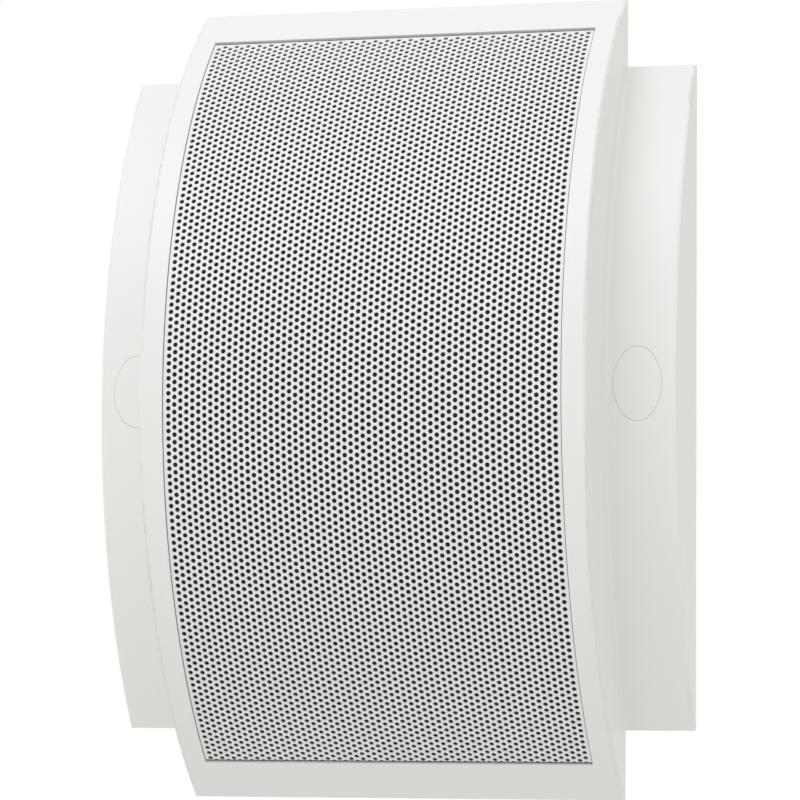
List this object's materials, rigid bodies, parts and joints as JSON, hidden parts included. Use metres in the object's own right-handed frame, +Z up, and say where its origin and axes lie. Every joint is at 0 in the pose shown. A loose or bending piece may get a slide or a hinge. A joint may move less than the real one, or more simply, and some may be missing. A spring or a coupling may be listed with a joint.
{
  "type": "wall speaker",
  "caption": "Surface-mounted wall loudspeaker: curved white moulding with side ears, oval screw plugs and a perforated metal grille over a sprung cone.",
  "frame": {"origin": "centre of the flat back, in the wall plane", "axes": "+Y points into the wall, -Y out of the front grille, +Z up the wall, +X to the right as seen from the front"},
  "size_m": [0.199, 0.072, 0.274],
  "materials": {
    "shell": "fine satin moulded ABS",
    "grille": "white powder coat",
    "cloth": "thin acoustic cloth",
    "foam": "soft foam",
    "rubber": "matt",
    "basket": "black paint on pressed steel",
    "plated_steel": "zinc plated",
    "paper": "black pressed pulp",
    "spider": "varnished cloth",
    "copper": "enamelled copper",
    "ferrite": "sintered ferrite",
    "phenolic": "pressed laminate",
    "brass": "tinned brass",
    "block": "polyamide",
    "lamination": "stacked and varnished",
    "bobbin": "taped winding",
    "lead_red": "PVC insulation",
    "lead_black": "PVC insulation"
  },
  "bodies": {
    "housing": {"front_housing": "shell", "grille": "grille", "grille_cloth": "cloth", "screw_plug_left": "shell", "screw_plug_right": "shell", "driver_gasket": "foam", "driver_basket": "basket", "driver_screws": "plated_steel", "cone_surround": "rubber", "spider": "spider", "top_plate": "plated_steel", "magnet": "ferrite", "yoke": "plated_steel", "tag_strip": "phenolic", "solder_tags": "brass", "tinsel_leads": "copper", "rear_panel": "shell", "rear_screws": "plated_steel", "terminal_block": "block", "terminal_clamps": "brass", "terminal_screws": "plated_steel", "block_screws": "plated_steel", "lead_grommet": "rubber", "transformer_core": "lamination", "transformer_coil": "bobbin", "transformer_bracket": "plated_steel", "transformer_screws": "plated_steel", "line_lead_red": "lead_red", "line_lead_black": "lead_black", "driver_leads": "lead_black"},
    "cone_assembly": {"cone": "paper", "dust_cap": "paper", "voice_coil": "copper"}
  },
  "joints": [
    {"name": "cone_travel", "type": "slide", "parent": "housing", "child": "cone_assembly", "axis": [0, -1, 0], "range_m": [-0.003, 0.003], "stiffness_N_per_m": 2200, "deforming": ["cone_surround", "spider", "tinsel_leads"]}
  ]
}
